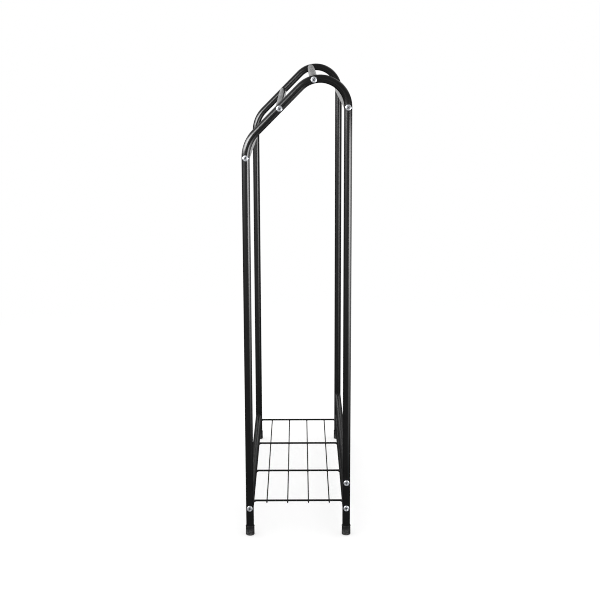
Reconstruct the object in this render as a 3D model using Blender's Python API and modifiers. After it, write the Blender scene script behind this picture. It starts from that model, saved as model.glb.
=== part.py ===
"""Valet stand: two bent-tube side frames joined by screwed rails, with a wire shelf for shoes."""

import math

import bmesh
import bpy
from mathutils import Matrix

# Driving dimensions in metres. X runs along the rails, -Y is the low front, +Z is up.
LEG_SPACING = 0.200            # front leg axis to rear leg axis
FRAME_SPACING = 0.616          # axis plane of one side frame to the other
TUBE_RADIUS = 0.008            # frames and rails are 16 mm tube
TUBE_WALL = 0.001
TOP_HEIGHT = 0.937             # highest point of the frame's centreline
TOP_BEND_RADIUS = 0.0545
SHOULDER_BEND_RADIUS = 0.070
SLOPE_ANGLE = math.radians(45.0)
SHELF_HEIGHT = 0.060           # axis of the two shelf rails
HEEL_RAIL_HEIGHT = 0.1156
GAP = 0.0003                   # clearance between neighbouring pieces

CROSS_WIRE_RADIUS = 0.0021
CROSS_WIRE_RISE = 0.001        # above the shelf rails' axis
CROSS_WIRE_PLACES = (-0.2736, -0.0935, 0.0935, 0.2736)
LONG_WIRE_RADIUS = 0.0012
LONG_WIRE_COUNT = 4
LONG_WIRE_SPACING = 0.0437
LONG_WIRE_OVERHANG = 0.0042    # past the axis of the outermost cross wires

SCREW_RADIUS = 0.003           # M6
SCREW_LENGTH = 0.030           # below the head
SCREW_TIP = 0.0006
HEAD_RADIUS = 0.006
HEAD_RIM = 0.0012
HEAD_DOME = 0.0024
HEAD_DOME_ANGLES = (0.0, 35.0, 65.0, 90.0)    # degrees from the crown, at the dome's corners
RECESS_FLOOR_SPAN = 0.0032     # length of a cross arm at the bottom of the recess
RECESS_TOP_SPAN = 0.0096       # and as far above the crown as the bottom is below it
RECESS_SLOT = 0.0012
RECESS_DEPTH = 0.0024
HOLE_OVERRUN = 0.003           # how far a screw hole's cutter passes the tube on each side
PLUG_LENGTH = 0.015

FOOT_HEIGHT = 0.0205
FOOT_FLOOR = 0.003
FOOT_BASE_RADIUS = 0.0092
FOOT_WAIST_RADIUS = 0.00895
FOOT_BEAD_RADIUS = 0.0094
FOOT_BEAD_HEIGHT = 0.0022
FOOT_EDGE_ROUNDING = 0.0012

TUBE_SIDES = 20
BORE_SIDES = 12
WIRE_SIDES = 10
SCREW_SIDES = 16
PLUG_SIDES = 12
FOOT_SIDES = 20
BEND_STEP = math.radians(9.0)
SHARP_ANGLE = math.radians(35.0)
WELD_DISTANCE = 0.00001

SIDES = {"left": -1.0, "right": 1.0}
Z_TO_X = Matrix.Rotation(math.pi / 2.0, 4, "Y")


# The frame's outline, as (y, z) points in the plane of one side frame.

def bend_centres():
    """Centres of the shoulder bend and the top bend; the slope is tangent to both."""
    half = LEG_SPACING / 2.0
    top_y = half - TOP_BEND_RADIUS
    top_z = TOP_HEIGHT - TOP_BEND_RADIUS
    shoulder_y = SHOULDER_BEND_RADIUS - half
    rise = (top_y - shoulder_y) * math.tan(SLOPE_ANGLE)
    offset = (TOP_BEND_RADIUS - SHOULDER_BEND_RADIUS) / math.cos(SLOPE_ANGLE)
    return (shoulder_y, top_z - rise + offset), (top_y, top_z)


def arc(centre, radius, start, end):
    """Points on an arc in the frame's plane, both ends included."""
    steps = round(abs(end - start) / BEND_STEP)
    angles = [start + (end - start) * i / steps for i in range(steps + 1)]
    return [(centre[0] + radius * math.cos(a), centre[1] + radius * math.sin(a)) for a in angles]


def frame_outline(foot_level):
    """Centreline from the foot of the front leg over the top to the foot of the rear leg."""
    shoulder, top = bend_centres()
    slope_normal = math.pi / 2.0 + SLOPE_ANGLE
    half = LEG_SPACING / 2.0
    outline = [(-half, foot_level)]
    outline += arc(shoulder, SHOULDER_BEND_RADIUS, math.pi, slope_normal)
    outline += arc(top, TOP_BEND_RADIUS, slope_normal, 0.0)
    outline += [(half, foot_level)]
    return outline


def rail_places():
    """Axis of each rail as (y, z). The four hanging rails stand a third of the depth apart."""
    shoulder, top = bend_centres()
    half = LEG_SPACING / 2.0
    third = LEG_SPACING / 3.0
    slope_y = -half + third
    top_y = half - third
    slope_start_y = shoulder[0] - SHOULDER_BEND_RADIUS * math.sin(SLOPE_ANGLE)
    slope_start_z = shoulder[1] + SHOULDER_BEND_RADIUS * math.cos(SLOPE_ANGLE)
    slope_z = slope_start_z + (slope_y - slope_start_y) * math.tan(SLOPE_ANGLE)
    top_z = top[1] + math.sqrt(TOP_BEND_RADIUS ** 2 - (top_y - top[0]) ** 2)
    return {
        "hanging_rail_shoulder": (-half, shoulder[1]),
        "hanging_rail_slope": (slope_y, slope_z),
        "hanging_rail_top": (top_y, top_z),
        "hanging_rail_rear": (half, top[1]),
        "shelf_rail_front": (-half, SHELF_HEIGHT),
        "shelf_rail_rear": (half, SHELF_HEIGHT),
        "heel_rail": (half, HEEL_RAIL_HEIGHT),
    }


# Scene, collections and materials.

def clear_scene():
    for item in list(bpy.data.objects):
        bpy.data.objects.remove(item, do_unlink=True)


def new_collection(name):
    collection = bpy.data.collections.new(name)
    bpy.context.scene.collection.children.link(collection)
    return collection


def finish_material(name, colour, roughness, metallic):
    material = bpy.data.materials.new(name)
    material.use_nodes = True
    shader = material.node_tree.nodes["Principled BSDF"]
    shader.inputs["Base Color"].default_value = (*colour, 1.0)
    shader.inputs["Roughness"].default_value = roughness
    shader.inputs["Metallic"].default_value = metallic
    material.diffuse_color = (*colour, 1.0)
    return material


def black_powder_coat():
    return finish_material("black_powder_coat", colour=(0.012, 0.012, 0.013), roughness=0.34, metallic=0.0)


def zinc_plating():
    return finish_material("zinc_plating", colour=(0.74, 0.77, 0.80), roughness=0.24, metallic=1.0)


def plug_steel():
    return finish_material("plug_steel", colour=(0.55, 0.55, 0.56), roughness=0.42, metallic=1.0)


def foot_rubber():
    return finish_material("foot_rubber", colour=(0.030, 0.030, 0.031), roughness=0.72, metallic=0.0)


# Mesh helpers.

def place(name, mesh, material, collection, location=(0.0, 0.0, 0.0), rotation=(0.0, 0.0, 0.0)):
    item = bpy.data.objects.new(name, mesh)
    item.location = location
    item.rotation_euler = rotation
    if material:
        mesh.materials.clear()
        mesh.materials.append(material)
    collection.objects.link(item)
    return item


def hide_cutter(cutter):
    cutter.hide_render = True
    cutter.display_type = "WIRE"


def cut(target, cutter):
    boolean = target.modifiers.new("cut_" + cutter.name, "BOOLEAN")
    boolean.operation = "DIFFERENCE"
    boolean.solver = "EXACT"
    boolean.object = cutter


def smooth(mesh):
    mesh.shade_smooth()
    mesh.set_sharp_from_angle(angle=SHARP_ANGLE)


def evaluated_mesh(item):
    """The item's mesh with its modifiers or bevel in place, welded into one closed skin."""
    bpy.context.view_layer.update()
    depsgraph = bpy.context.evaluated_depsgraph_get()
    mesh = bpy.data.meshes.new_from_object(item.evaluated_get(depsgraph))
    skin = bmesh.new()
    skin.from_mesh(mesh)
    bmesh.ops.remove_doubles(skin, verts=skin.verts, dist=WELD_DISTANCE)
    skin.to_mesh(mesh)
    skin.free()
    smooth(mesh)
    return mesh


def bent_rod(name, outline, radius, sides, collection):
    """A solid round rod that follows a (y, z) outline in the plane x = 0.

    A round bevel of resolution n has 2 n + 4 sides.
    """
    curve = bpy.data.curves.new(name + "_path", "CURVE")
    curve.dimensions = "3D"
    curve.bevel_depth = radius
    curve.bevel_resolution = (sides - 4) // 2
    curve.use_fill_caps = True
    spline = curve.splines.new("POLY")
    spline.points.add(len(outline) - 1)
    for point, (y, z) in zip(spline.points, outline):
        point.co = (0.0, y, z, 1.0)
    path = bpy.data.objects.new(name + "_path", curve)
    collection.objects.link(path)
    mesh = evaluated_mesh(path)
    mesh.name = name
    rod = place(name, mesh, None, collection)
    rod.matrix_world = path.matrix_world.copy()
    bpy.data.objects.remove(path, do_unlink=True)
    bpy.data.curves.remove(curve)
    return rod


def turned(name, profile, sides, collection, closed_loop=False):
    """A profile of (radius, height) points turned about Z; its outer side runs top to bottom."""
    mesh = bpy.data.meshes.new(name)
    count = len(profile)
    edges = [(i, i + 1) for i in range(count - 1)]
    if closed_loop:
        edges.append((count - 1, 0))
    mesh.from_pydata([(r, 0.0, z) for r, z in profile], edges, [])
    blank = place(name, mesh, None, collection)
    screw = blank.modifiers.new("turn", "SCREW")
    screw.steps = sides
    screw.render_steps = sides
    screw.use_merge_vertices = True
    screw.merge_threshold = WELD_DISTANCE
    return blank


def take_mesh(blank):
    """Replace a modelled blank by its finished mesh, for copies to share."""
    mesh = evaluated_mesh(blank)
    mesh.name = blank.name
    bpy.data.objects.remove(blank, do_unlink=True)
    return mesh


def rod_mesh(name, radius, length, sides):
    """A solid round bar along X, centred on its own middle."""
    bar = bmesh.new()
    bmesh.ops.create_cone(bar, cap_ends=True, segments=sides, radius1=radius, radius2=radius,
                          depth=length, matrix=Z_TO_X)
    mesh = bpy.data.meshes.new(name)
    bar.to_mesh(mesh)
    bar.free()
    smooth(mesh)
    return mesh


# Side frames.

def screw_hole_cutter(name, cutters):
    """One bar across the frame at every rail, through both walls of the tube."""
    radius = SCREW_RADIUS + GAP
    length = 2.0 * (TUBE_RADIUS + HOLE_OVERRUN)
    bars = bmesh.new()
    for y, z in rail_places().values():
        bmesh.ops.create_cone(bars, cap_ends=True, segments=BORE_SIDES, radius1=radius, radius2=radius,
                              depth=length, matrix=Matrix.Translation((0.0, y, z)) @ Z_TO_X)
    mesh = bpy.data.meshes.new(name)
    bars.to_mesh(mesh)
    bars.free()
    cutter = place(name, mesh, None, cutters)
    hide_cutter(cutter)
    return cutter


def side_frames(parts, cutters, material):
    """Hollow bent tubes, open at both feet, drilled for one screw at each rail."""
    tube_end = FOOT_FLOOR + GAP
    for side, sign in SIDES.items():
        x = sign * FRAME_SPACING / 2.0
        frame = bent_rod("side_frame_" + side, frame_outline(tube_end), TUBE_RADIUS, TUBE_SIDES, parts)
        frame.data.materials.append(material)
        bore = bent_rod("frame_bore_" + side, frame_outline(-tube_end), TUBE_RADIUS - TUBE_WALL,
                        BORE_SIDES, cutters)
        holes = screw_hole_cutter("screw_holes_" + side, cutters)
        hide_cutter(bore)
        for item in (frame, bore, holes):
            item.location.x = x
        cut(frame, bore)
        cut(frame, holes)


# Rails between the frames.

def cope_cutters(cutters):
    """The frames' tubes with their clearance, which hollow the rail ends to fit."""
    copes = []
    for side, sign in SIDES.items():
        cope = bent_rod("rail_cope_" + side, frame_outline(0.0), TUBE_RADIUS + GAP, TUBE_SIDES, cutters)
        cope.location.x = sign * FRAME_SPACING / 2.0
        hide_cutter(cope)
        copes.append(cope)
    return copes


def rails(parts, copes, material):
    half = FRAME_SPACING / 2.0
    bore = TUBE_RADIUS - TUBE_WALL
    profile = [(TUBE_RADIUS, half), (TUBE_RADIUS, -half), (bore, -half), (bore, half)]
    for name, (y, z) in rail_places().items():
        rail = turned(name, profile, TUBE_SIDES, parts, closed_loop=True)
        rail.rotation_euler.y = math.pi / 2.0
        rail.location = (0.0, y, z)
        rail.data.materials.append(material)
        for cope in copes:
            cut(rail, cope)


# Screws and the plugs that hold them.

def recess_wing(name, angle, cutters):
    """One tapered slot of the cross recess, standing in the top of the head."""
    wing = bmesh.new()
    bmesh.ops.create_cube(wing, size=1.0)
    crown = HEAD_RIM + HEAD_DOME
    for vert in wing.verts:
        at_top = vert.co.z > 0.0
        vert.co.x *= RECESS_TOP_SPAN if at_top else RECESS_FLOOR_SPAN
        vert.co.y *= RECESS_SLOT
        vert.co.z = crown + RECESS_DEPTH if at_top else crown - RECESS_DEPTH
    mesh = bpy.data.meshes.new(name)
    wing.to_mesh(mesh)
    wing.free()
    cutter = place(name, mesh, None, cutters, rotation=(0.0, 0.0, angle))
    hide_cutter(cutter)
    return cutter


def screw_mesh(cutters):
    """Pan head screw along Z: the head's seat is at z = 0 and the shank points down."""
    dome = [(HEAD_RADIUS * math.sin(a), HEAD_RIM + HEAD_DOME * math.cos(a))
            for a in map(math.radians, HEAD_DOME_ANGLES)]
    shank = [(HEAD_RADIUS, 0.0), (SCREW_RADIUS, 0.0), (SCREW_RADIUS, SCREW_TIP - SCREW_LENGTH),
             (SCREW_RADIUS - SCREW_TIP, -SCREW_LENGTH), (0.0, -SCREW_LENGTH)]
    blank = turned("pan_head_screw", dome + shank, SCREW_SIDES, cutters)
    wings = [recess_wing("recess_wing_" + letter, angle, cutters)
             for letter, angle in (("a", 0.0), ("b", math.pi / 2.0))]
    for wing in wings:
        cut(blank, wing)
    mesh = take_mesh(blank)
    for wing in wings:
        bpy.data.objects.remove(wing, do_unlink=True)
    return mesh


def plug_mesh(cutters):
    """Threaded plug along Z, shown by the clear bore that its thread leaves for the screw."""
    outer = TUBE_RADIUS - TUBE_WALL - GAP
    bore = SCREW_RADIUS + GAP
    half = PLUG_LENGTH / 2.0
    profile = [(outer, half), (outer, -half), (bore, -half), (bore, half)]
    return take_mesh(turned("threaded_plug", profile, PLUG_SIDES, cutters, closed_loop=True))


def screws_and_plugs(parts, cutters, screw_material, plug_material):
    screw = screw_mesh(cutters)
    plug = plug_mesh(cutters)
    head_seat = FRAME_SPACING / 2.0 + TUBE_RADIUS + GAP
    plug_centre = FRAME_SPACING / 2.0 - TUBE_RADIUS - GAP - PLUG_LENGTH / 2.0
    for side, sign in SIDES.items():
        outward = (0.0, sign * math.pi / 2.0, 0.0)
        for rail, (y, z) in rail_places().items():
            place(f"screw_{side}_{rail}", screw, screw_material, parts, (sign * head_seat, y, z), outward)
            place(f"plug_{side}_{rail}", plug, plug_material, parts, (sign * plug_centre, y, z), outward)


# Wire shelf.

def shelf_wires(parts, material):
    """Four cross wires between the shelf rails, with four long wires under them."""
    clear_width = LEG_SPACING - 2.0 * (TUBE_RADIUS + GAP)
    cross = rod_mesh("cross_wire", CROSS_WIRE_RADIUS, clear_width, WIRE_SIDES)
    cross_level = SHELF_HEIGHT + CROSS_WIRE_RISE
    along_y = (0.0, 0.0, math.pi / 2.0)
    for number, x in enumerate(CROSS_WIRE_PLACES, start=1):
        place(f"cross_wire_{number}", cross, material, parts, (x, 0.0, cross_level), along_y)
    reach = CROSS_WIRE_PLACES[-1] + LONG_WIRE_OVERHANG
    long = rod_mesh("long_wire", LONG_WIRE_RADIUS, 2.0 * reach, WIRE_SIDES)
    long_level = cross_level - CROSS_WIRE_RADIUS - GAP - LONG_WIRE_RADIUS
    first_y = -LONG_WIRE_SPACING * (LONG_WIRE_COUNT - 1) / 2.0
    for index in range(LONG_WIRE_COUNT):
        y = first_y + index * LONG_WIRE_SPACING
        place(f"long_wire_{index + 1}", long, material, parts, (0.0, y, long_level))


# Feet.

def foot_mesh(cutters):
    """Rubber cap along Z: a cup with a flat base, a rounded edge and a bead round its mouth."""
    inner = TUBE_RADIUS + GAP
    bead_base = FOOT_HEIGHT - FOOT_BEAD_HEIGHT
    bead_chamfer = FOOT_BEAD_HEIGHT / 3.0
    edge_centre = FOOT_BASE_RADIUS - FOOT_EDGE_ROUNDING
    edge = [(edge_centre + FOOT_EDGE_ROUNDING * math.cos(a), FOOT_EDGE_ROUNDING * (1.0 - math.sin(a)))
            for a in (0.0, math.pi / 4.0, math.pi / 2.0)]
    profile = [(0.0, FOOT_FLOOR), (inner, FOOT_FLOOR), (inner, FOOT_HEIGHT),
               (FOOT_WAIST_RADIUS, FOOT_HEIGHT), (FOOT_BEAD_RADIUS, FOOT_HEIGHT - bead_chamfer),
               (FOOT_BEAD_RADIUS, bead_base + bead_chamfer), (FOOT_WAIST_RADIUS, bead_base)]
    profile += edge
    profile += [(0.0, 0.0)]
    return take_mesh(turned("rubber_foot", profile, FOOT_SIDES, cutters))


def feet(parts, cutters, material):
    foot = foot_mesh(cutters)
    for side, sign in SIDES.items():
        for end, y in (("front", -LEG_SPACING / 2.0), ("rear", LEG_SPACING / 2.0)):
            place(f"foot_{side}_{end}", foot, material, parts, (sign * FRAME_SPACING / 2.0, y, 0.0))


def build():
    clear_scene()
    parts = new_collection("valet_stand")
    cutters = new_collection("cutters")
    coat = black_powder_coat()
    side_frames(parts, cutters, coat)
    rails(parts, cope_cutters(cutters), coat)
    screws_and_plugs(parts, cutters, zinc_plating(), plug_steel())
    shelf_wires(parts, coat)
    feet(parts, cutters, foot_rubber())


build()
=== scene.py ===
# Valet stand: the finished meshes, materials, light and camera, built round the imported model.
# Metres throughout, +Z up. The rails run along X, and the camera looks along -X at one side frame.
import math

import bmesh
import bpy
from mathutils import Matrix, Vector

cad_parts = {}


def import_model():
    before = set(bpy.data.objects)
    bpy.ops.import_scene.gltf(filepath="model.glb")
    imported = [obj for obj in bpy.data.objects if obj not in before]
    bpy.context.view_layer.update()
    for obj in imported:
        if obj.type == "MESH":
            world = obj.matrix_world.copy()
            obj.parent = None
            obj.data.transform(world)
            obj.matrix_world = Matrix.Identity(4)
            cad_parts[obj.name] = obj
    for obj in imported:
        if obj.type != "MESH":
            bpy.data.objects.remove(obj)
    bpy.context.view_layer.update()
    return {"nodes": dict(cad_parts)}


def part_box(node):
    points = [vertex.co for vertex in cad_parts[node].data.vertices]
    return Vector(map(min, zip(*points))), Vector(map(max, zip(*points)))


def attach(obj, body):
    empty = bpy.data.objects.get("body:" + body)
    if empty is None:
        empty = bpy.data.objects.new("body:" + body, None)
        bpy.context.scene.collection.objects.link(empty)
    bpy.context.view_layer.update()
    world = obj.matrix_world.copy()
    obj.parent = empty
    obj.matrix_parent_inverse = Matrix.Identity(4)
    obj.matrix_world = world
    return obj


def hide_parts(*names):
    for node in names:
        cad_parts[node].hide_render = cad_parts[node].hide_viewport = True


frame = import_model()

SIDES = {"left": -1.0, "right": 1.0}
ENDS = ("front", "rear")
HANGING_RAILS = ("hanging_rail_shoulder", "hanging_rail_slope", "hanging_rail_top", "hanging_rail_rear")
RAILS = HANGING_RAILS + ("shelf_rail_front", "shelf_rail_rear", "heel_rail")
WIRES = (1, 2, 3, 4)
QUARTER_TURN = math.pi / 2.0
WHITE = (1.0, 1.0, 1.0, 1.0)


def centre(node):
    low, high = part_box(node)
    return (low + high) / 2.0


def extent(node):
    low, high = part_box(node)
    return high - low


# Meshes.
JOIN_DISTANCE = 0.000001
SHARP_ANGLE = math.radians(38.0)

# Tubes. Their radius and places come from the frame. A heading is an angle from +Y towards +Z.
TUBE_RADIUS = extent("side_frame_left").x / 2.0
TUBE_WALL = 0.001
TUBE_SIDES = 48
CLEARANCE = 0.0001
BEND_STEP = math.radians(1.5)
STRAIGHT_STEP = 0.015
HOLE_SIDES = 24
HOLE_BAR_LENGTH = 3.0 * TUBE_RADIUS
FRAME_X = centre("side_frame_right").x
LEG_Y = centre("foot_right_rear").y
LEG_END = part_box("side_frame_left")[0].z
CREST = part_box("side_frame_left")[1].z - TUBE_RADIUS
UP = QUARTER_TURN
DOWN = -QUARTER_TURN

# The top bend ends at the rear rail, and the slope runs from the slope rail onto that bend.
TOP_BEND_Z = centre("hanging_rail_rear").z
TOP_BEND_RADIUS = CREST - TOP_BEND_Z
TOP_BEND_Y = LEG_Y - TOP_BEND_RADIUS
SLOPE_RAIL = centre("hanging_rail_slope")
SLOPE_REACH = math.hypot(TOP_BEND_Y - SLOPE_RAIL.y, TOP_BEND_Z - SLOPE_RAIL.z)
SLOPE_ANGLE = (math.atan2(TOP_BEND_Z - SLOPE_RAIL.z, TOP_BEND_Y - SLOPE_RAIL.y)
               + math.asin(TOP_BEND_RADIUS / SLOPE_REACH))

# The shoulder bend starts at the shoulder rail and is tangent to the front leg and the slope.
SHOULDER_Z = centre("hanging_rail_shoulder").z
CORNER_Z = SLOPE_RAIL.z - (SLOPE_RAIL.y + LEG_Y) * math.tan(SLOPE_ANGLE)
SHOULDER_BEND_RADIUS = (CORNER_Z - SHOULDER_Z) / math.tan((UP - SLOPE_ANGLE) / 2.0)

# Screws. The dome's fullness is 1 for an ellipse, and less for a squarer outline. Each screw has stopped
# at its own angle, in degrees. The recess's inner corners are cut across, from a number of half slots out.
SEAT_GAP = 0.0001
HEAD_SEAT = FRAME_X + TUBE_RADIUS + SEAT_GAP
HEAD_RADIUS = extent("screw_right_heel_rail").y / 2.0
HEAD_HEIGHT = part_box("screw_right_heel_rail")[1].x - HEAD_SEAT
HEAD_RIM = 0.0011
HEAD_EDGE = 0.0003
HEAD_EDGE_STEPS = 4
HEAD_FULLNESS = 0.52
CROWN_DEGREES = range(0, 90, 5)
SCREW_SIDES = 48
SCREW_TURNS = dict(zip(RAILS, (70.0, 20.0, 55.0, 35.0, 10.0, 45.0, 62.0)))
SHANK_RADIUS = 0.003
SHANK_LENGTH = HEAD_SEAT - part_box("screw_right_heel_rail")[0].x
THREAD_PITCH = 0.001
THREAD_DEPTH = 0.0005
THREAD_RINGS = 6
THREAD_NECK = 0.002
RECESS_SPAN = 0.0078
RECESS_SLOT = 0.0018
RECESS_FLOOR_SPAN = 0.0030
RECESS_FLOOR_SLOT = 0.0010
RECESS_DEPTH = 0.0024
RECESS_CORNER = 2.0

# Shelf wires.
WIRE_SIDES = 24
COAT_BUILD = 0.00012
CROSS_RADIUS = extent("cross_wire_1").z / 2.0 + COAT_BUILD
LONG_RADIUS = extent("long_wire_1").z / 2.0 + COAT_BUILD
FILLET = 0.0050
COLLAR = 0.0006
WELD_BITE = 0.0002
FILLET_RINGS = 10
NUGGET_REACH = 0.0022
NUGGET_HEIGHT = 0.0011
NUGGET_RINGS = 8
WIRE_END_ROUNDING = 0.0005
WIRE_END_DEGREES = (90, 60, 30, 0)

# Feet.
FOOT_SIDES = 96
FOOT_RADIUS = extent("foot_left_front").x / 2.0
FOOT_HEIGHT = extent("foot_left_front").z
FOOT_BASE_RADIUS = FOOT_RADIUS - 0.0002
FOOT_WAIST_RADIUS = FOOT_RADIUS - 0.00045
FOOT_EDGE = 0.0016
FOOT_EDGE_STEPS = 8
FOOT_BEAD = 0.0026
FOOT_BEAD_STEPS = 14
FOOT_BEAD_END = -math.pi / 3.0
FOOT_WAIST_DROPS = (FOOT_BEAD * 1.15, FOOT_BEAD * 1.5)
FOOT_FLOOR = 0.003
FOOT_LIP = 0.0005
FOOT_LIP_STEPS = 3
GROOVE_RADII = (0.0026, 0.0054)
GROOVE_WIDTH = 0.0009
GROOVE_DEPTH = 0.0007

# Finishes. Colours are linear. A feature is the size of a pattern and a relief its depth, both in metres.
COAT_COLOURS = ((0.0030, 0.0030, 0.0032, 1.0), (0.0060, 0.0060, 0.0062, 1.0))
COAT_ROUGHNESS = (0.20, 0.25)
CLOUD_FEATURE = 0.03
PEEL_FEATURE = 0.0011
PEEL_RELIEF = 0.00002
FLECK_FEATURE = 0.0004
FLECK_RELIEF = 0.000006
FLECK_ROUGHNESS = 0.02
ZINC_COLOURS = ((0.74, 0.77, 0.82, 1.0), (0.88, 0.90, 0.93, 1.0))
ZINC_METAL = 0.88
ZINC_ROUGHNESS = (0.28, 0.40)
BLOTCH_FEATURE = 0.0035
SCUFF_FEATURE = 0.0005
SCUFF_RELIEF = 0.00001
RING_DENSITY = 1600.0
RING_WANDER = 1.5
RING_RELIEF = 0.000008
# Painted shade in the screw's recess: its colour, the heights over which it sets in, and its reach from the
# middle.
RECESS_SHADE_COLOUR = (0.22, 0.225, 0.24, 1.0)
RECESS_SHADE_LEVELS = (HEAD_HEIGHT - 0.0012, HEAD_HEIGHT - 0.0004)
RECESS_SHADE_REACH = (RECESS_SPAN / 2.0, RECESS_SPAN / 2.0 + 0.0004)
STEEL_COLOURS = ((0.42, 0.41, 0.40, 1.0), (0.60, 0.60, 0.61, 1.0))
STEEL_ROUGHNESS = (0.34, 0.52)
PATCH_FEATURE = 0.004
STEEL_FEATURE = 0.0003
STEEL_RELIEF = 0.00001
# The rubber's own dark colour, and the lighter grey of its painted highlights.
RUBBER_COLOURS = ((0.005, 0.005, 0.006, 1.0), (0.075, 0.075, 0.075, 1.0))
RUBBER_ROUGHNESS = (0.50, 0.62)
RUBBER_SPECULAR = 0.3
RUBBER_FEATURE = 0.0005
RUBBER_RELIEF = 0.00006
# Painted highlights on the feet: the size of the lighter patches, the share of noise that shows, and the
# heights over which they fade out.
FOOT_HIGHLIGHT_FEATURE = 0.004
FOOT_HIGHLIGHT_RANGE = (0.35, 0.65)
FOOT_HIGHLIGHT_HEIGHTS = (FOOT_HEIGHT * 0.35, FOOT_HEIGHT * 0.8)
FLOOR_COLOUR = (0.60, 0.60, 0.60, 1.0)
FLOOR_GLOW = 0.50

# Camera, fitted to the photograph.
CAMERA_PLACE = Vector((2.768, 0.0048, 1.0488))
CAMERA_PITCH = math.radians(12.567)
CAMERA_TURN = math.radians(89.986)
CAMERA_ROLL = math.radians(-0.185)
CAMERA_LENS = 75.56

# Light. Radiances are in the render's own units, where 1 is white.
# A panel stands upright on the line from start to end in plan, and shines to the left of that line.
# Its levels are (low, high, mean radiance), and its spread is the full angle that its light fills.
SOFTBOX_SPREAD = math.radians(100.0)
PANELS = {
    "right": {"start": (0.83, 0.48), "end": (0.63, 0.61),
              "levels": ((0.0, 0.15, 0.29), (0.15, 0.28, 0.5), (0.28, 0.38, 1.07), (0.38, 0.48, 2.1),
                         (0.48, 0.80, 4.2)),
              "spread": SOFTBOX_SPREAD},
    "right_rear": {"start": (0.63, 0.61), "end": (0.36, 0.78),
                   "levels": ((0.0, 0.15, 0.62), (0.15, 0.28, 1.23), (0.28, 0.38, 2.3), (0.38, 0.48, 2.85),
                              (0.48, 0.80, 3.0)),
                   "spread": SOFTBOX_SPREAD},
    "right_back": {"start": (0.30, 0.95), "end": (0.05, 0.40),
                   "levels": ((0.15, 0.28, 0.5), (0.28, 0.42, 1.2), (0.42, 0.80, 1.5))},
    "left": {"start": (0.60, -1.48), "end": (1.55, -0.76),
             "levels": ((0.87, 1.20, 18.0), (1.20, 1.40, 21.0), (1.40, 1.60, 8.0), (1.60, 2.0, 1.5))},
    "left_rear": {"start": (-0.30, -1.50), "end": (0.60, -1.48), "levels": ((0.84, 1.50, 5.0),)},
    "left_low": {"start": (0.31, -1.25), "end": (1.68, -0.71), "levels": ((0.54, 0.80, 0.6),)},
    "back": {"start": (-6.0, 1.2), "end": (-6.0, -1.2), "levels": ((0.0, 1.5, 0.9),)},
}
BACKDROP = 1.0
AMBIENT = 1.0
PEAK_RADIANCE = 10.0

# The studio's glow by direction: stops of (component of the direction, radiance or share of it).
FRONT_BY_X = ((-1.0, 0.0), (-0.3, 0.0), (0.3, 1.0), (1.0, 1.0))
FRONT_BY_Z = ((-1.0, 0.22), (-0.55, 0.22), (-0.42, 0.03), (-0.34, 0.03), (-0.21, 0.30), (-0.12, 0.72),
              (0.0, 0.22), (0.3, 0.22), (1.0, 0.25))
BACK_BY_X = ((-1.0, 1.0), (-0.3, 1.0), (0.3, 0.0), (1.0, 0.0))
BACK_BY_Z = ((-1.0, 0.02), (-0.05, 0.04), (0.0, 0.10), (0.34, 0.10), (0.6, 0.25), (1.0, 0.25))
REAR_SIDES_BY_X = ((-1.0, 0.0), (-0.9, 0.0), (-0.8, 0.15), (-0.6, 0.15), (-0.45, 0.0), (1.0, 0.0))
REAR_SIDES_BY_Z = ((-1.0, 0.0), (-0.45, 0.0), (-0.3, 1.0), (-0.08, 1.0), (0.1, 0.0), (1.0, 0.0))
OVERHEAD_BY_X = ((-1.0, 0.0), (-0.85, 0.0), (-0.75, 1.2), (-0.5, 1.2), (-0.35, 0.15), (0.2, 0.15), (0.4, 0.0),
                 (1.0, 0.0))
OVERHEAD_BY_Z = ((-1.0, 0.0), (0.22, 0.0), (0.42, 1.0), (1.0, 1.0))
OVERHEAD_BY_SIDE = ((-1.0, 0.0), (0.25, 0.0), (0.45, 1.0), (1.0, 1.0))

# Stage and camera settings.
FLOOR_LEVEL = -0.0002
FLOOR_SIZE = 80.0
FLOOR_FADE = (0.5, 2.0)
VIEW_END = 200.0
PIXEL_FILTER = 1.0


# Mesh helpers.

def arc(middle, radius, start, end, count):
    """(a, b) points round an arc, from one angle to another, both ends included."""
    angles = [start + (end - start) * i / count for i in range(count + 1)]
    return [(middle[0] + radius * math.cos(a), middle[1] + radius * math.sin(a)) for a in angles]


def bridge(skin, rings):
    """Quads between rings of vertices, each ring closed on itself."""
    for lower, upper in zip(rings, rings[1:]):
        count = len(lower)
        for i in range(count):
            j = (i + 1) % count
            skin.faces.new((lower[i], lower[j], upper[j], upper[i]))


def close_end(skin, ring):
    """A fan of triangles over a ring, round a vertex at its middle."""
    middle = sum((vert.co for vert in ring), Vector()) / len(ring)
    hub = skin.verts.new(middle)
    for i, vert in enumerate(ring):
        skin.faces.new((vert, ring[(i + 1) % len(ring)], hub))


def finished_mesh(name, skin):
    """A mesh from a closed bmesh, its normals outward, smooth apart from its real edges."""
    bmesh.ops.remove_doubles(skin, verts=skin.verts, dist=JOIN_DISTANCE)
    bmesh.ops.recalc_face_normals(skin, faces=skin.faces)
    if skin.calc_volume(signed=True) < 0.0:
        bmesh.ops.reverse_faces(skin, faces=skin.faces)
    mesh = bpy.data.meshes.new(name)
    skin.to_mesh(mesh)
    skin.free()
    mesh.shade_smooth()
    mesh.set_sharp_from_angle(angle=SHARP_ANGLE)
    return mesh


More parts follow.
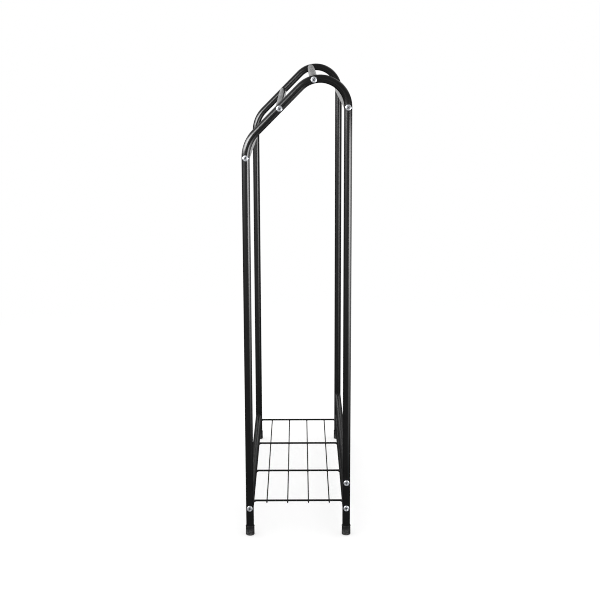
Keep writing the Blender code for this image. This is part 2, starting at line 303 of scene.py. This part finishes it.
def turned_skin(profile, sides):
    """A profile of (radius, height) points turned about Z; a radius of zero is a single vertex."""
    skin = bmesh.new()
    turns = [math.tau * i / sides for i in range(sides)]
    rings = []
    for radius, height in profile:
        corners = [(radius * math.cos(turn), radius * math.sin(turn), height) for turn in turns]
        if radius == 0.0:
            corners = [(0.0, 0.0, height)]
        rings.append([skin.verts.new(corner) for corner in corners])
    for lower, upper in zip(rings, rings[1:]):
        if len(lower) == len(upper):
            bridge(skin, [lower, upper])
            continue
        hub, ring = (lower[0], upper) if len(lower) == 1 else (upper[0], lower)
        for i in range(sides):
            skin.faces.new((ring[i], ring[(i + 1) % sides], hub))
    return skin


def piece(name, mesh, material, replaced, location=(0.0, 0.0, 0.0), rotation=(0.0, 0.0, 0.0)):
    """Place a finished mesh with its finish, and hide the CAD node that it stands for."""
    item = bpy.data.objects.new(name, mesh)
    item.location = location
    item.rotation_euler = rotation
    if not mesh.materials:
        mesh.materials.append(material)
    bpy.context.scene.collection.objects.link(item)
    bpy.context.view_layer.update()
    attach(item, "root")
    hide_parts(replaced)
    return item


def modified_mesh(name, mesh, add_modifiers):
    """The mesh with modifiers applied, made on an object that doesn't stay."""
    item = bpy.data.objects.new(name, mesh)
    bpy.context.scene.collection.objects.link(item)
    add_modifiers(item)
    bpy.context.view_layer.update()
    skin = bmesh.new()
    skin.from_mesh(item.evaluated_get(bpy.context.evaluated_depsgraph_get()).to_mesh())
    bpy.data.objects.remove(item, do_unlink=True)
    return finished_mesh(name, skin)


def subtract(item, cutter):
    boolean = item.modifiers.new("cut", "BOOLEAN")
    boolean.operation = "DIFFERENCE"
    boolean.solver = "EXACT"
    boolean.object = cutter


# Material helpers.

class NodeTree:
    """A node tree being made, with short calls for the nodes that materials and the world share."""

    def __init__(self, tree):
        self.tree = tree

    def feed(self, socket, value):
        """Link a node's output to a socket, or set a plain number or colour on it."""
        if isinstance(value, bpy.types.NodeSocket):
            self.tree.links.new(value, socket)
        else:
            socket.default_value = value

    def node(self, kind, settings=None, **inputs):
        made = self.tree.nodes.new(kind)
        for key, value in (settings or {}).items():
            setattr(made, key, value)
        for key, value in inputs.items():
            self.feed(made.inputs[key.replace("_", " ")], value)
        return made

    def math(self, operation, *values):
        made = self.node("ShaderNodeMath", {"operation": operation})
        for value, socket in zip(values, made.inputs):
            self.feed(socket, value)
        return made.outputs[0]


class Recipe(NodeTree):
    """A material being made."""

    def __init__(self, name):
        self.material = bpy.data.materials.new(name)
        self.material.use_nodes = True
        super().__init__(self.material.node_tree)
        self.shader = self.tree.nodes["Principled BSDF"]

    def set(self, **inputs):
        for key, value in inputs.items():
            self.feed(self.shader.inputs[key.replace("_", " ")], value)

    def place(self):
        """The point on the piece, in metres, in the piece's own axes."""
        return self.node("ShaderNodeTexCoord").outputs["Object"]

    def noise(self, place, feature, detail=2.0, roughness=0.5):
        """Noise from 0 to 1, whose features are about this many metres across."""
        made = self.node("ShaderNodeTexNoise", Vector=place, Scale=1.0 / feature, Detail=detail,
                         Roughness=roughness)
        return made.outputs["Fac"]

    def between(self, value, low, high, low_in=0.3, high_in=0.7):
        """The value mapped onto a range of numbers. Noise mostly lies from 0.3 to 0.7."""
        made = self.node("ShaderNodeMapRange", Value=value, From_Min=low_in, From_Max=high_in,
                         To_Min=low, To_Max=high)
        return made.outputs["Result"]

    def height(self, place):
        return self.node("ShaderNodeSeparateXYZ", Vector=place).outputs["Z"]

    def length(self, vector):
        return self.node("ShaderNodeVectorMath", {"operation": "LENGTH"}, Vector=vector).outputs["Value"]

    def blend(self, factor, first, second):
        """A colour between two colours, each either plain or another node's."""
        # A Mix node keeps its colour sockets after those for numbers and vectors.
        made = self.node("ShaderNodeMix", {"data_type": "RGBA"})
        self.feed(made.inputs[0], factor)
        self.feed(made.inputs[6], first)
        self.feed(made.inputs[7], second)
        return made.outputs[2]

    def bump(self, height, relief, normal=None):
        made = self.node("ShaderNodeBump", Height=height, Distance=relief)
        if normal is not None:
            self.feed(made.inputs["Normal"], normal)
        return made.outputs["Normal"]


def black_powder_coat():
    """Satin black powder coat: orange peel, a fine fleck and slow changes in gloss."""
    coat = Recipe("black_powder_coat")
    place = coat.place()
    peel = coat.noise(place, PEEL_FEATURE, detail=1.0)
    fleck = coat.noise(place, FLECK_FEATURE, detail=3.0)
    cloud = coat.noise(place, CLOUD_FEATURE, detail=3.0)
    coat.set(Base_Color=coat.blend(coat.between(fleck, 0.0, 1.0), *COAT_COLOURS))
    coat.set(Roughness=coat.math("ADD", coat.between(cloud, *COAT_ROUGHNESS),
                                 coat.between(fleck, -FLECK_ROUGHNESS, FLECK_ROUGHNESS)))
    flecked = coat.bump(fleck, FLECK_RELIEF)
    coat.set(Normal=coat.bump(peel, PEEL_RELIEF, flecked))
    return coat.material


def zinc_plating():
    """Bright zinc: turned rings on the head, faint blotches, small scuffs, and painted shade in the recess.
    """
    zinc = Recipe("zinc_plating")
    place = zinc.place()
    blotch = zinc.noise(place, BLOTCH_FEATURE, detail=3.0)
    scuff = zinc.noise(place, SCUFF_FEATURE, detail=4.0, roughness=0.6)
    rings = zinc.node("ShaderNodeTexWave", {"wave_type": "RINGS", "rings_direction": "Z"}, Vector=place,
                      Scale=RING_DENSITY, Distortion=RING_WANDER, Detail=2.0)
    plated = zinc.blend(zinc.between(blotch, 0.0, 1.0), *ZINC_COLOURS)
    flat = zinc.node("ShaderNodeVectorMath", {"operation": "MULTIPLY"}, Vector=place)
    zinc.feed(flat.inputs[1], (1.0, 1.0, 0.0))
    # Painted shade: the recess is darker where it is deeper and nearer the middle.
    sunk = zinc.between(zinc.height(place), 1.0, 0.0, *RECESS_SHADE_LEVELS)
    inside = zinc.between(zinc.length(flat.outputs[0]), 1.0, 0.0, *RECESS_SHADE_REACH)
    zinc.set(Base_Color=zinc.blend(zinc.math("MULTIPLY", sunk, inside), plated, RECESS_SHADE_COLOUR))
    zinc.set(Metallic=ZINC_METAL, Roughness=zinc.between(scuff, *ZINC_ROUGHNESS))
    turned = zinc.bump(rings.outputs["Fac"], RING_RELIEF)
    zinc.set(Normal=zinc.bump(scuff, SCUFF_RELIEF, turned))
    return zinc.material


def plug_steel():
    """Plain steel of the threaded plugs, dull and lightly oiled."""
    steel = Recipe("plug_steel")
    place = steel.place()
    patch = steel.noise(place, PATCH_FEATURE, detail=4.0)
    grain = steel.noise(place, STEEL_FEATURE, detail=2.0)
    steel.set(Base_Color=steel.blend(steel.between(patch, 0.0, 1.0), *STEEL_COLOURS))
    steel.set(Metallic=1.0, Roughness=steel.between(patch, *STEEL_ROUGHNESS))
    steel.set(Normal=steel.bump(grain, STEEL_RELIEF))
    return steel.material


def foot_rubber():
    """Moulded rubber: a fine grain, and greyer in patches towards the floor, which are painted highlights."""
    rubber = Recipe("foot_rubber")
    place = rubber.place()
    grain = rubber.noise(place, RUBBER_FEATURE, detail=3.0)
    highlight_noise = rubber.noise(place, FOOT_HIGHLIGHT_FEATURE, detail=4.0)
    low = rubber.between(rubber.height(place), 1.0, 0.0, *FOOT_HIGHLIGHT_HEIGHTS)
    # Painted highlights: lighter patches low on the foot, fading out towards its top.
    painted_highlight = rubber.math("MULTIPLY", low, rubber.between(highlight_noise, 0.0, 1.0, *FOOT_HIGHLIGHT_RANGE))
    rubber.set(Base_Color=rubber.blend(painted_highlight, *RUBBER_COLOURS))
    rubber.set(Roughness=rubber.between(grain, *RUBBER_ROUGHNESS), Specular_IOR_Level=RUBBER_SPECULAR)
    rubber.set(Normal=rubber.bump(grain, RUBBER_RELIEF))
    return rubber.material


# Side frames.

def bend(middle, radius, start, end):
    """(y, z, heading) points round a bend to the right, from one heading to the next."""
    steps = max(1, round((start - end) / BEND_STEP))
    points = []
    for i in range(steps + 1):
        heading = start + (end - start) * i / steps
        y = middle[0] - radius * math.sin(heading)
        z = middle[1] + radius * math.cos(heading)
        points.append((y, z, heading))
    return points


def straight(start, end):
    """(y, z, heading) points from one point up to another, but without either, evenly spaced."""
    steps = max(1, round(math.dist(start[:2], end[:2]) / STRAIGHT_STEP))
    shares = [i / steps for i in range(1, steps)]
    return [(start[0] + (end[0] - start[0]) * share, start[1] + (end[1] - start[1]) * share, start[2])
            for share in shares]


def frame_path():
    """The centreline of a side frame: up the front leg, back up the slope, over and down behind."""
    front_foot = (-LEG_Y, LEG_END, UP)
    rear_foot = (LEG_Y, LEG_END, DOWN)
    shoulder = bend((-LEG_Y + SHOULDER_BEND_RADIUS, SHOULDER_Z), SHOULDER_BEND_RADIUS, UP, SLOPE_ANGLE)
    top = bend((TOP_BEND_Y, TOP_BEND_Z), TOP_BEND_RADIUS, SLOPE_ANGLE, DOWN)
    front_leg = straight(front_foot, shoulder[0])
    slope = straight(shoulder[-1], top[0])
    rear_leg = straight(top[-1], rear_foot)
    return [front_foot] + front_leg + shoulder + slope + top + rear_leg + [rear_foot]


def frame_skin(path):
    """A hollow tube along the path, in the plane x = 0, open at both ends."""
    skin = bmesh.new()
    walls = []
    for radius in (TUBE_RADIUS, TUBE_RADIUS - TUBE_WALL):
        rings = []
        for y, z, heading in path:
            ring = []
            for i in range(TUBE_SIDES):
                turn = math.tau * i / TUBE_SIDES
                out = radius * math.sin(turn)
                ring.append(skin.verts.new((radius * math.cos(turn), y - out * math.sin(heading),
                                            z + out * math.cos(heading))))
            rings.append(ring)
        bridge(skin, rings)
        walls.append(rings)
    outer, inner = walls
    bridge(skin, [outer[0], inner[0]])
    bridge(skin, [outer[-1], inner[-1]])
    return skin


def screw_hole_bars():
    """One bar through both walls of a frame for each of its screws."""
    bars = bmesh.new()
    radius = SHANK_RADIUS + CLEARANCE
    across = Matrix.Rotation(QUARTER_TURN, 4, "Y")
    for rail in RAILS:
        place = Matrix.Translation((0.0, centre(rail).y, centre(rail).z))
        bmesh.ops.create_cone(bars, cap_ends=True, segments=HOLE_SIDES, radius1=radius, radius2=radius,
                              depth=HOLE_BAR_LENGTH, matrix=place @ across)
    mesh = bpy.data.meshes.new("screw_hole_bars")
    bars.to_mesh(mesh)
    bars.free()
    item = bpy.data.objects.new("screw_hole_bars", mesh)
    bpy.context.scene.collection.objects.link(item)
    return item


def side_frames(path, material):
    bars = screw_hole_bars()
    blank = finished_mesh("bent_tube", frame_skin(path))
    mesh = modified_mesh("bent_tube_drilled", blank, lambda item: subtract(item, bars))
    bpy.data.objects.remove(bars, do_unlink=True)
    for side, sign in SIDES.items():
        piece(f"bent_tube_{side}", mesh, material, f"side_frame_{side}",
              (sign * FRAME_X, 0.0, 0.0))


# Rails.

def distance_to_path(y, z, path):
    """How far a point in a frame's plane is from the frame's centreline."""
    point = Vector((y, z))
    nearest = math.inf
    for (ay, az, _), (by, bz, _) in zip(path, path[1:]):
        start = Vector((ay, az))
        run = Vector((by - ay, bz - az))
        along = min(1.0, max(0.0, (point - start).dot(run) / run.length_squared))
        nearest = min(nearest, (point - start - run * along).length)
    return nearest


def rail_skin(y, z, path):
    """A tube along X, each end hollowed to sit against a frame."""
    skin = bmesh.new()
    walls = []
    saddle = TUBE_RADIUS + CLEARANCE
    for radius in (TUBE_RADIUS, TUBE_RADIUS - TUBE_WALL):
        ends = {-1.0: [], 1.0: []}
        for i in range(TUBE_SIDES):
            turn = math.tau * i / TUBE_SIDES
            out_y = radius * math.cos(turn)
            out_z = radius * math.sin(turn)
            offset = distance_to_path(y + out_y, z + out_z, path)
            reach = FRAME_X - math.sqrt(max(0.0, saddle ** 2 - offset ** 2))
            for sign, ring in ends.items():
                ring.append(skin.verts.new((sign * reach, out_y, out_z)))
        bridge(skin, [ends[-1.0], ends[1.0]])
        walls.append(ends)
    outer, inner = walls
    for sign in (-1.0, 1.0):
        bridge(skin, [outer[sign], inner[sign]])
    return skin


def rails(path, material):
    for rail in RAILS:
        place = centre(rail)
        mesh = finished_mesh(f"{rail}_tube", rail_skin(place.y, place.z, path))
        piece(f"{rail}_tube", mesh, material, rail, (0.0, place.y, place.z))


# Screws and plugs.

def screw_profile():
    """(radius, height) points of a pan head, from its crown to its seat. The seat is at zero."""
    dome_height = HEAD_HEIGHT - HEAD_RIM
    crown = []
    for degrees in CROWN_DEGREES:
        angle = math.radians(degrees)
        radius = HEAD_RADIUS * math.sin(angle) ** HEAD_FULLNESS
        crown.append((radius, HEAD_RIM + dome_height * math.cos(angle) ** HEAD_FULLNESS))
    crown.append((HEAD_RADIUS, HEAD_RIM))
    edge = arc((HEAD_RADIUS - HEAD_EDGE, HEAD_EDGE), HEAD_EDGE, 0.0, -QUARTER_TURN, HEAD_EDGE_STEPS)
    return crown + edge + [(SHANK_RADIUS, 0.0), (SHANK_RADIUS, -THREAD_NECK)]


def cut_thread(skin):
    """Run a single-start thread down the shank and close its tip."""
    levels = int((SHANK_LENGTH - THREAD_NECK) / THREAD_PITCH * THREAD_RINGS)
    top = [vert for vert in skin.verts if abs(vert.co.z + THREAD_NECK) < JOIN_DISTANCE]
    top.sort(key=lambda vert: math.atan2(vert.co.y, vert.co.x) % math.tau)
    rings = [top]
    for level in range(1, levels + 1):
        depth = THREAD_PITCH * level / THREAD_RINGS
        taper = min(1.0, level / THREAD_RINGS)
        ring = []
        for i in range(SCREW_SIDES):
            turn = math.tau * i / SCREW_SIDES
            phase = (depth / THREAD_PITCH + i / SCREW_SIDES) % 1.0
            cut = THREAD_DEPTH * taper * (1.0 - abs(2.0 * phase - 1.0))
            radius = SHANK_RADIUS - cut
            corner = (radius * math.cos(turn), radius * math.sin(turn), -THREAD_NECK - depth)
            ring.append(skin.verts.new(corner))
        rings.append(ring)
    bridge(skin, rings)
    close_end(skin, rings[-1])


def recess_cutter():
    """A tapered cross for the driver, which reaches as far above the crown as the recess is deep."""
    skin = bmesh.new()
    rings = []
    top_span = 2.0 * RECESS_SPAN - RECESS_FLOOR_SPAN
    top_slot = 2.0 * RECESS_SLOT - RECESS_FLOOR_SLOT
    sections = (
        (HEAD_HEIGHT + RECESS_DEPTH, top_span, top_slot),
        (HEAD_HEIGHT - RECESS_DEPTH, RECESS_FLOOR_SPAN, RECESS_FLOOR_SLOT),
    )
    for level, span, slot in sections:
        arm = span / 2.0
        half = slot / 2.0
        inner = half * RECESS_CORNER
        ring = []
        for quarter in range(4):
            turn = Matrix.Rotation(quarter * QUARTER_TURN, 3, "Z")
            for x, y in ((arm, -half), (arm, half), (inner, half), (half, inner)):
                ring.append(skin.verts.new(turn @ Vector((x, y, level))))
        rings.append(ring)
    bridge(skin, rings)
    close_end(skin, rings[0])
    close_end(skin, rings[1])
    mesh = finished_mesh("recess_cutter", skin)
    item = bpy.data.objects.new("recess_cutter", mesh)
    bpy.context.scene.collection.objects.link(item)
    return item


def screw_mesh():
    """Pan head screw along Z: the head's seat is at zero and the thread points down."""
    skin = turned_skin(screw_profile(), SCREW_SIDES)
    cut_thread(skin)
    blank = finished_mesh("screw_blank", skin)
    cutter = recess_cutter()
    mesh = modified_mesh("pan_head_screw", blank, lambda item: subtract(item, cutter))
    bpy.data.objects.remove(cutter, do_unlink=True)
    return mesh


def screws(material):
    mesh = screw_mesh()
    for side, sign in SIDES.items():
        outward = Matrix.Rotation(sign * QUARTER_TURN, 4, "Y")
        for rail, degrees in SCREW_TURNS.items():
            place = (sign * HEAD_SEAT, centre(rail).y, centre(rail).z)
            turned = outward @ Matrix.Rotation(math.radians(degrees), 4, "Z")
            piece(f"pan_head_{side}_{rail}", mesh, material, f"screw_{side}_{rail}",
                  place, turned.to_euler())


def dress_node(node, material):
    """Give a CAD node that stays its finished material."""
    item = frame["nodes"][node]
    item.data.materials.clear()
    item.data.materials.append(material)


# Shelf wires.

def cross_wire_skin(level, rail_y, rail_z):
    """A wire along Y that meets a shelf rail at each end, with a weld fillet under it."""
    skin = bmesh.new()
    steps = [FILLET * (1.0 - math.cos(QUARTER_TURN * i / FILLET_RINGS)) for i in range(FILLET_RINGS + 1)]
    rings = []
    for sign in (-1.0, 1.0):
        half = []
        for step in steps:
            rise = FILLET - math.sqrt(FILLET ** 2 - (FILLET - step) ** 2)
            collar = COLLAR * max(0.0, 1.0 - step / (2.0 * COLLAR)) ** 2
            ring = []
            for i in range(WIRE_SIDES):
                turn = math.tau * i / WIRE_SIDES
                under = max(0.0, -math.sin(turn)) ** 2
                radius = CROSS_RADIUS + rise * under + collar * (1.0 - under)
                z = level + radius * math.sin(turn)
                back = math.sqrt(TUBE_RADIUS ** 2 - (z - rail_z) ** 2)
                y = rail_y - back - step + WELD_BITE
                ring.append(skin.verts.new((radius * math.cos(turn), sign * y, z)))
            half.append(ring)
        rings.append(half)
    front, rear = rings
    sequence = front + rear[::-1]
    bridge(skin, sequence)
    close_end(skin, sequence[0])
    close_end(skin, sequence[-1])
    return skin


def cross_wires(material):
    for number in WIRES:
        node = f"cross_wire_{number}"
        place = centre(node)
        skin = cross_wire_skin(place.z, centre("shelf_rail_rear").y, centre("shelf_rail_rear").z)
        piece(f"{node}_welded", finished_mesh(f"{node}_welded", skin), material, node,
              (place.x, 0.0, 0.0))


def long_wire_stations(reach, crossings):
    """(x, radius share, weld height) along a long wire: rounded ends and a weld at each cross wire."""
    stations = []
    for degrees in WIRE_END_DEGREES:
        angle = math.radians(degrees)
        x = reach - WIRE_END_ROUNDING * (1.0 - math.sin(angle))
        share = 1.0 - WIRE_END_ROUNDING / LONG_RADIUS * (1.0 - math.cos(angle))
        stations += [(-x, share, 0.0), (x, share, 0.0)]
    for crossing in crossings:
        for i in range(-NUGGET_RINGS, NUGGET_RINGS + 1):
            share = i / NUGGET_RINGS
            height = NUGGET_HEIGHT * (0.5 + 0.5 * math.cos(math.pi * share))
            stations.append((crossing + share * NUGGET_REACH, 1.0, height))
    return sorted(stations)


def long_wire_skin(reach, crossings):
    """A wire along X, with a weld on its upper side at each crossing."""
    skin = bmesh.new()
    rings = []
    for x, share, weld in long_wire_stations(reach, crossings):
        ring = []
        for i in range(WIRE_SIDES):
            turn = math.tau * i / WIRE_SIDES
            above = max(0.0, math.sin(turn))
            radius = LONG_RADIUS * share + weld * above
            ring.append(skin.verts.new((x, radius * math.cos(turn), radius * math.sin(turn))))
        rings.append(ring)
    bridge(skin, rings)
    close_end(skin, rings[0])
    close_end(skin, rings[-1])
    return skin


def long_wires(material):
    crossings = [centre(f"cross_wire_{number}").x for number in WIRES]
    for number in WIRES:
        node = f"long_wire_{number}"
        skin = long_wire_skin(extent(node).x / 2.0, crossings)
        piece(f"{node}_welded", finished_mesh(f"{node}_welded", skin), material, node,
              centre(node))


# Feet.

def foot_profile():
    """(radius, height) points of a rubber cap, from the middle of its floor inside to that of its base."""
    bore = TUBE_RADIUS + CLEARANCE
    lip_middle = (bore + FOOT_LIP, FOOT_HEIGHT - FOOT_LIP)
    lip = arc(lip_middle, FOOT_LIP, math.pi, QUARTER_TURN, FOOT_LIP_STEPS)
    bead_radius = FOOT_BEAD / 2.0
    bead_middle = (FOOT_RADIUS - bead_radius, FOOT_HEIGHT - bead_radius)
    bead = arc(bead_middle, bead_radius, QUARTER_TURN, FOOT_BEAD_END, FOOT_BEAD_STEPS)
    waist = [(FOOT_WAIST_RADIUS, FOOT_HEIGHT - drop) for drop in FOOT_WAIST_DROPS]
    edge_middle = (FOOT_BASE_RADIUS - FOOT_EDGE, FOOT_EDGE)
    edge = arc(edge_middle, FOOT_EDGE, 0.0, -QUARTER_TURN, FOOT_EDGE_STEPS)
    tread = []
    for middle in reversed(GROOVE_RADII):
        outer = middle + GROOVE_WIDTH / 2.0
        inner = middle - GROOVE_WIDTH / 2.0
        tread += [(outer, 0.0), (outer, GROOVE_DEPTH), (inner, GROOVE_DEPTH), (inner, 0.0)]
    return [(0.0, FOOT_FLOOR), (bore, FOOT_FLOOR)] + lip + bead + waist + edge + tread + [(0.0, 0.0)]


def feet(material):
    mesh = finished_mesh("rubber_cap", turned_skin(foot_profile(), FOOT_SIDES))
    for side in SIDES:
        for end in ENDS:
            node = f"foot_{side}_{end}"
            place = centre(node)
            piece(f"rubber_cap_{side}_{end}", mesh, material, node, (place.x, place.y, 0.0))


# Stage, light and camera.

def camera():
    data = bpy.data.cameras.new("camera")
    data.lens = CAMERA_LENS
    data.clip_end = VIEW_END
    item = bpy.data.objects.new("camera", data)
    bpy.context.scene.collection.objects.link(item)
    item.matrix_world = (Matrix.Translation(CAMERA_PLACE) @ Matrix.Rotation(CAMERA_TURN, 4, "Z")
                         @ Matrix.Rotation(QUARTER_TURN - CAMERA_PITCH, 4, "X")
                         @ Matrix.Rotation(CAMERA_ROLL, 4, "Z"))
    bpy.context.scene.camera = item


def panel(name, start, end, levels, spread=math.pi):
    """Upright area lights, one for each level, whose faces are seen only in what shines."""
    run = Vector((end[0] - start[0], end[1] - start[1], 0.0))
    across = run.normalized()
    up = Vector((0.0, 0.0, 1.0))
    facing = Matrix((across, up, across.cross(up))).transposed().to_euler()
    for number, (low, high, radiance) in enumerate(levels):
        data = bpy.data.lights.new(f"{name}_panel_{number}", "AREA")
        data.shape = "RECTANGLE"
        data.size = run.length
        data.size_y = high - low
        data.energy = math.pi * data.size * data.size_y * radiance
        data.spread = spread
        item = bpy.data.objects.new(data.name, data)
        bpy.context.scene.collection.objects.link(item)
        item.location = ((start[0] + end[0]) / 2.0, (start[1] + end[1]) / 2.0, (low + high) / 2.0)
        item.rotation_euler = facing
        item.visible_camera = False
        item.visible_diffuse = False


class Sky(NodeTree):
    """The world's nodes: brightness by direction."""

    def __init__(self, tree):
        super().__init__(tree)
        tree.nodes.clear()
        direction = self.node("ShaderNodeTexCoord").outputs["Generated"]
        split = self.node("ShaderNodeSeparateXYZ", Vector=direction)
        self.x = split.outputs["X"]
        self.z = split.outputs["Z"]
        self.side = self.math("ABSOLUTE", split.outputs["Y"])

    def ramp(self, source, stops):
        """Brightness along one axis of the direction: stops are (from -1 to 1, radiance)."""
        share = self.node("ShaderNodeMapRange", Value=source, From_Min=-1.0)
        made = self.node("ShaderNodeFloatCurve", Value=share.outputs["Result"])
        curve = made.mapping.curves[0]
        made.mapping.clip_max_y = PEAK_RADIANCE
        while len(curve.points) < len(stops):
            curve.points.new(0.5, 0.0)
        for point, (place, radiance) in zip(curve.points, stops):
            point.location = ((place + 1.0) / 2.0, radiance)
            point.handle_type = "VECTOR"
        made.mapping.update()
        return made.outputs["Value"]

    def background(self, radiance):
        return self.node("ShaderNodeBackground", Color=WHITE, Strength=radiance).outputs[0]

    def choose(self, ray, otherwise, chosen):
        made = self.node("ShaderNodeMixShader", Fac=ray)
        self.feed(made.inputs[1], otherwise)
        self.feed(made.inputs[2], chosen)
        return made.outputs[0]


def studio_glow(sky):
    """What shines in glossy surfaces: a low glow in front, overhead glow at the sides, a dim back."""
    front = sky.math("MULTIPLY", sky.ramp(sky.x, FRONT_BY_X), sky.ramp(sky.z, FRONT_BY_Z))
    back = sky.math("MULTIPLY", sky.ramp(sky.x, BACK_BY_X), sky.ramp(sky.z, BACK_BY_Z))
    rear_sides = sky.math("MULTIPLY", sky.ramp(sky.x, REAR_SIDES_BY_X), sky.ramp(sky.z, REAR_SIDES_BY_Z))
    overhead = sky.math("MULTIPLY", sky.ramp(sky.x, OVERHEAD_BY_X), sky.ramp(sky.z, OVERHEAD_BY_Z))
    overhead = sky.math("MULTIPLY", overhead, sky.ramp(sky.side, OVERHEAD_BY_SIDE))
    return sky.math("ADD", sky.math("ADD", front, back), sky.math("ADD", rear_sides, overhead))


def world():
    """White to the camera, an even glow to matt surfaces, and a dim studio to glossy ones."""
    made = bpy.data.worlds.new("studio")
    bpy.context.scene.world = made
    made.use_nodes = True
    made.cycles.sampling_method = "NONE"
    sky = Sky(made.node_tree)
    ray = sky.node("ShaderNodeLightPath")
    seen = sky.choose(ray.outputs["Is Glossy Ray"], sky.background(AMBIENT), sky.background(studio_glow(sky)))
    seen = sky.choose(ray.outputs["Is Camera Ray"], seen, sky.background(BACKDROP))
    sky.node("ShaderNodeOutputWorld", Surface=seen)


def floor_material():
    """A pale floor that is lit near the stand and runs out to plain white."""
    pale = Recipe("pale_floor")
    pale.set(Base_Color=FLOOR_COLOUR, Roughness=1.0, Specular_IOR_Level=0.0)
    pale.set(Emission_Color=WHITE, Emission_Strength=FLOOR_GLOW)
    white = pale.node("ShaderNodeEmission", Color=WHITE)
    fade = pale.node("ShaderNodeMapRange", {"interpolation_type": "SMOOTHSTEP"},
                     Value=pale.length(pale.place()), From_Min=FLOOR_FADE[0], From_Max=FLOOR_FADE[1])
    mix = pale.node("ShaderNodeMixShader", Fac=fade.outputs["Result"])
    pale.feed(mix.inputs[1], pale.shader.outputs[0])
    pale.feed(mix.inputs[2], white.outputs[0])
    pale.feed(pale.tree.nodes["Material Output"].inputs["Surface"], mix.outputs[0])
    return pale.material


def floor():
    skin = bmesh.new()
    bmesh.ops.create_grid(skin, x_segments=1, y_segments=1, size=FLOOR_SIZE / 2.0)
    mesh = bpy.data.meshes.new("floor")
    skin.to_mesh(mesh)
    skin.free()
    mesh.materials.append(floor_material())
    item = bpy.data.objects.new("floor", mesh)
    item.location.z = FLOOR_LEVEL
    item.visible_glossy = False
    bpy.context.scene.collection.objects.link(item)


def build():
    coat = black_powder_coat()
    path = frame_path()
    camera()
    world()
    floor()
    for name, settings in PANELS.items():
        panel(name, **settings)
    side_frames(path, coat)
    rails(path, coat)
    screws(zinc_plating())
    steel = plug_steel()
    for side in SIDES:
        for rail in RAILS:
            dress_node(f"plug_{side}_{rail}", steel)
    cross_wires(coat)
    long_wires(coat)
    feet(foot_rubber())


bpy.context.scene.view_settings.view_transform = "Standard"
bpy.context.scene.cycles.filter_width = PIXEL_FILTER
build()
